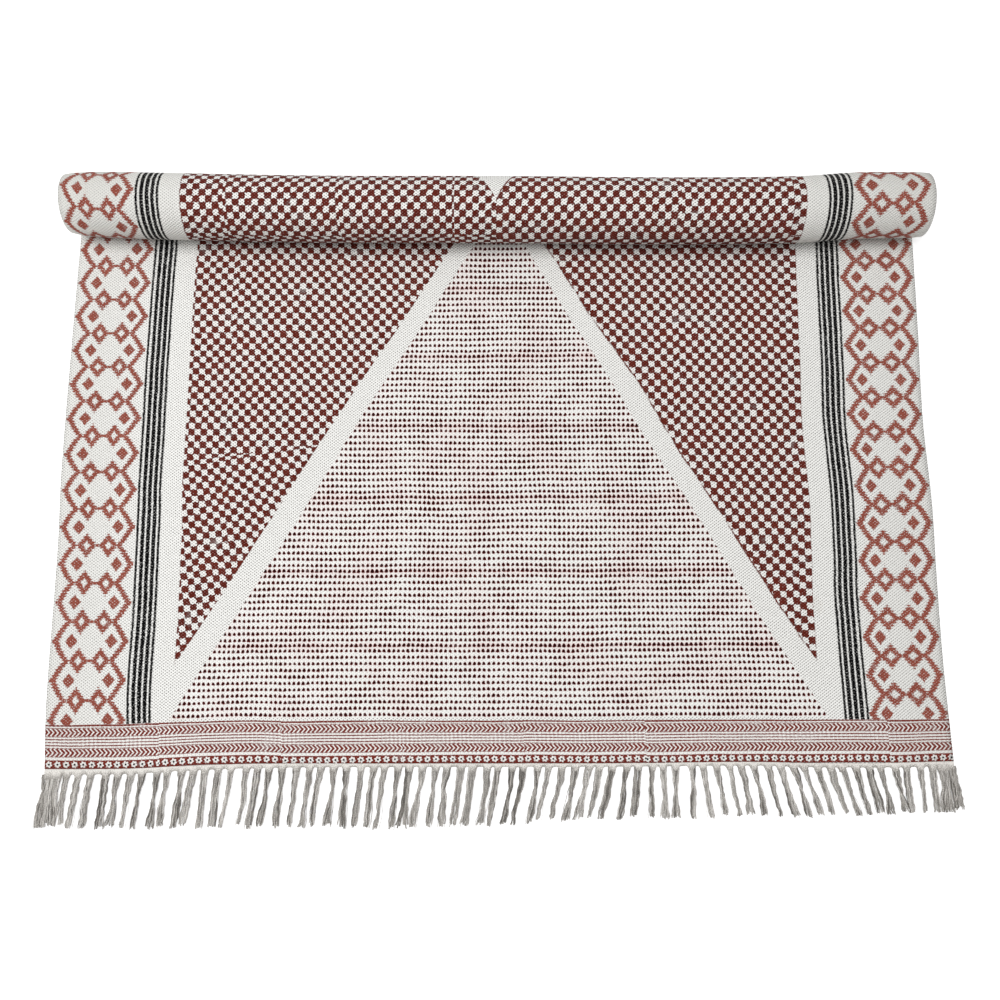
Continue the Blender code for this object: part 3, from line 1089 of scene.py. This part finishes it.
def paint_print():
    """The printed side of the cloth: cream plain weave with the whole block print."""
    material, tree, shader = start_material("printed_cotton")
    at = PrintPlace(tree)
    bulge = (1.0 - abs(at.y - BULGE_PLACE) * BULGE_FALL).kept()
    triangle, dots, dot_core, dot_strength, haze = triangle_dots(at, bulge)
    checks = side_checks(at, bulge)
    lines, flowers, flower_centres = end_border(at)
    chain = side_chain(at)
    stripes = side_stripes(at) * at.above_end
    ground = cotton_ground(at, triangle, haze)

    # Ink misses the deepest hollows of the weave, wears thin in places, and dries unevenly
    skip = 1.0 - (at.fluff * 2.2 - at.weave).ramp(*SKIP_DEPTHS) * SKIP_SHARE
    thin = 1.0 - (at.cloud * -1.0).ramp(*THIN_DEPTHS) * THIN_SHARE
    mottle = (at.speckle * 1.6 + at.cloud * 0.9 - at.weave * 0.3 + 0.38).kept()
    brick = mix_colour(tree, mottle, BRICK_INK, BRICK_LIGHT)
    brown = mix_colour(tree, mottle * BROWN_MOTTLE, BROWN_INK, BROWN_LIGHT)
    red = mix_colour(tree, mottle * RED_MOTTLE, DARK_RED_INK, BROWN_LIGHT)
    dot_ink = mix_colour(tree, dot_core, DOT_EDGE, DOT_CORE)
    end_ink = lines.most(flowers) * (1.0 - at.above_end) * thin * softened(skip, 0.4)
    colour = ground
    for cover, ink in ((chain * skip * thin, brick),
                       (checks * softened(skip, 0.3) * softened(thin, 0.6), brown),
                       (dots * dot_strength, dot_ink),
                       (stripes * softened(skip, 0.6), BLACK_INK),
                       (end_ink, red),
                       (flower_centres, BLACK_INK)):
        colour = mix_colour(tree, cover, colour, ink)
    tree.links.new(colour, shader.inputs["Base Color"])
    shader.inputs["Roughness"].default_value = COTTON_ROUGHNESS
    shader.inputs["Specular IOR Level"].default_value = PRINT_SHINE
    add_bump(tree, shader, at.weave * -0.5 + at.speckle * 0.5 + 0.5, PRINT_RELIEF)
    return material


def paint_back():
    """The back and the cut edges of the cloth: the same weave, bare."""
    material, tree, shader = start_material("bare_cotton")
    x, y = read_map(tree, "print_place")
    weave = weave_pattern(x, y)
    speckle, _ = cloudy(tree, place_vector(tree, x, y), 700.0)
    # Painted shade: the weave's hollows are coloured darker
    ground = mix_colour(tree, weave.ramp(0.2, 1.0) * 0.8, COTTON, COTTON_HOLLOW_SHADE)
    ground = mix_colour(tree, (speckle + 0.5).kept() * 0.35, ground, BACK_DUST)
    tree.links.new(ground, shader.inputs["Base Color"])
    shader.inputs["Roughness"].default_value = COTTON_ROUGHNESS
    shader.inputs["Specular IOR Level"].default_value = COTTON_SHINE
    add_bump(tree, shader, weave * -0.5 + 0.5, BACK_RELIEF)
    return material


# The fringe: each yarn's name with its shaded and bright colour, its twist, the grain of the painted
# shade between strands, and the heading's weave
YARN_COLOURS = (("pale_yarn", (0.34, 0.32, 0.295), (0.88, 0.85, 0.81)),
                ("grey_yarn", (0.20, 0.186, 0.168), (0.64, 0.61, 0.57)),
                ("dark_yarn", (0.07, 0.064, 0.057), (0.34, 0.315, 0.285)))
YARN_TWIST = 0.0016
STRAND_SHADE_GRAIN = (900.0, 45.0)
YARN_SHEEN = 0.1
FRINGE_RELIEF = 0.0005
HEADING_COLOURS = ((0.31, 0.29, 0.265), (0.84, 0.81, 0.765))
HEADING_WEAVE = (0.0022, 0.0018)
HEADING_TONE = 1.14
HEADING_DARKENING = 1.1


def object_place(tree):
    """The place on the object, in metres."""
    coordinates = tree.nodes.new("ShaderNodeTexCoord")
    split = tree.nodes.new("ShaderNodeSeparateXYZ")
    tree.links.new(coordinates.outputs["Object"], split.inputs[0])
    return [Field(socket) for socket in split.outputs]


def paint_yarn(name, shade, shine):
    """Grey-beige cotton yarn between a shaded and a bright colour, with painted shade between its
    strands and along its twist, and its fluff.
    """
    material, tree, shader = start_material(name)
    x, y, z = object_place(tree)
    place = place_vector(tree, x, y)
    strand_shade, _ = cloudy(tree, place_vector(tree, x * STRAND_SHADE_GRAIN[0], y * STRAND_SHADE_GRAIN[1]), 1.0)
    fluff, _ = cloudy(tree, place, 1100.0)
    broad, _ = cloudy(tree, place, 60.0)
    twist = ((x * 1.6 + y + z * 1.2) * (2 * math.pi / YARN_TWIST)).sine()
    # Painted shade: streaks along the yarn darken between its strands and the twist shades its turns;
    # fluff and broad noise vary the tone at random
    tone = (strand_shade * 2.2 + fluff * 3.2 + broad * 0.6 + twist * 0.15 + 0.5).kept()
    colour = mix_colour(tree, tone, shade, shine)
    tree.links.new(colour, shader.inputs["Base Color"])
    shader.inputs["Roughness"].default_value = COTTON_ROUGHNESS
    shader.inputs["Specular IOR Level"].default_value = COTTON_SHINE
    shader.inputs["Sheen Weight"].default_value = YARN_SHEEN
    add_bump(tree, shader, twist * 0.3 + fluff * 0.6 + 0.5, FRINGE_RELIEF)
    return material


def paint_heading():
    """The heading strip: a close beige weave with painted shade in its ribs, darker towards the tassels.
    """
    material, tree, shader = start_material("heading_cotton")
    x, y, _ = object_place(tree)
    _, forward = read_map(tree, "strip_place")
    place = place_vector(tree, x, y)
    fluff, _ = cloudy(tree, place, 800.0)
    broad, _ = cloudy(tree, place, 90.0)
    across, along = HEADING_WEAVE
    ribs = (x * (2 * math.pi / across)).sine() * (y * (2 * math.pi / along)).sine()
    # Painted shade in the weave's ribs, and darker towards the tassels
    tone = (fluff * 2.6 + broad * 0.9 + ribs * 0.2 + HEADING_TONE - forward * HEADING_DARKENING).kept()
    colour = mix_colour(tree, tone, *HEADING_COLOURS)
    tree.links.new(colour, shader.inputs["Base Color"])
    shader.inputs["Roughness"].default_value = COTTON_ROUGHNESS
    shader.inputs["Specular IOR Level"].default_value = COTTON_SHINE
    add_bump(tree, shader, ribs * 0.4 + fluff * 0.4 + 0.5, FRINGE_RELIEF)
    return material


# The stage: its floor, the light from all round, and each lamp's strength, breadth or size, and place
FLOOR_HALF = 4.0
FLOOR_COLOUR = (0.95, 0.95, 0.95, 1.0)
FLOOR_GLOW = 0.18
WHITE = (1.0, 1.0, 1.0, 1.0)
ROUND_LIGHT = 0.26
SKYLIGHT = (1.60, math.radians(34), Vector((-0.10, -0.22, 2.0)))
CEILING = (0.62, math.radians(110), Vector((0.0, 0.1, 2.0)))
SOFTBOX_STRENGTH = 13.5
SOFTBOX_SIZE = 1.2
SOFTBOX_PLACE = Vector((-1.6, 0.2, 1.8))


def build_stage():
    """A plain pale floor under everything."""
    work = bmesh.new()
    bmesh.ops.create_grid(work, x_segments=1, y_segments=1, size=FLOOR_HALF)
    mesh = bpy.data.meshes.new("floor")
    work.to_mesh(mesh)
    work.free()
    floor = bpy.data.objects.new("floor", mesh)
    bpy.context.scene.collection.objects.link(floor)
    material, _, shader = start_material("floor")
    shader.inputs["Base Color"].default_value = FLOOR_COLOUR
    shader.inputs["Emission Color"].default_value = WHITE
    shader.inputs["Emission Strength"].default_value = FLOOR_GLOW
    shader.inputs["Roughness"].default_value = 1.0
    shader.inputs["Specular IOR Level"].default_value = 0.0
    mesh.materials.append(material)


def hang_lamp(lamp, place):
    """Hangs a lamp at a place, facing the middle of the scene's floor."""
    holder = bpy.data.objects.new(lamp.name, lamp)
    facing = place.to_track_quat("Z", "Y").to_matrix().to_4x4()
    holder.matrix_world = Matrix.Translation(place) @ facing
    bpy.context.scene.collection.objects.link(holder)


def hang_sun(name, strength, breadth, place):
    """A far lamp over the rug: the broader it is, the softer its shadows."""
    sun = bpy.data.lights.new(name, "SUN")
    sun.energy = strength
    sun.angle = breadth
    hang_lamp(sun, place)


def light_studio():
    """Light from all round, a skylight overhead and a little in front, a broad ceiling and a softbox."""
    world = bpy.data.worlds.new("studio")
    bpy.context.scene.world = world
    world.use_nodes = True
    background = world.node_tree.nodes["Background"]
    background.inputs["Color"].default_value = WHITE
    background.inputs["Strength"].default_value = ROUND_LIGHT
    hang_sun("skylight", *SKYLIGHT)
    hang_sun("ceiling", *CEILING)
    softbox = bpy.data.lights.new("softbox", "AREA")
    softbox.size = SOFTBOX_SIZE
    softbox.energy = SOFTBOX_STRENGTH
    hang_lamp(softbox, SOFTBOX_PLACE)
    bpy.context.scene.view_settings.view_transform = "Standard"


def set_camera():
    """The photograph's view."""
    data = bpy.data.cameras.new("camera")
    data.lens = CAMERA_LENS
    data.sensor_width = CAMERA_SENSOR
    camera = bpy.data.objects.new("camera", data)
    tilt = Matrix.Rotation(math.pi / 2 - CAMERA_PITCH, 4, "X")
    roll = Matrix.Rotation(CAMERA_ROLL, 4, "Z")
    camera.matrix_world = Matrix.Translation(CAMERA_PLACE + HOME) @ tilt @ roll
    bpy.context.scene.collection.objects.link(camera)
    bpy.context.scene.camera = camera


def main():
    """Sets the stage and lays out the rug with its fringe."""
    set_camera()
    light_studio()
    build_stage()
    cloth = weave_cloth(paint_print(), paint_back())
    fringe = comb_fringe([paint_yarn(name, shade, shine) for name, shade, shine in YARN_COLOURS])
    heading = lay_heading(paint_heading())
    bpy.context.view_layer.update()


main()
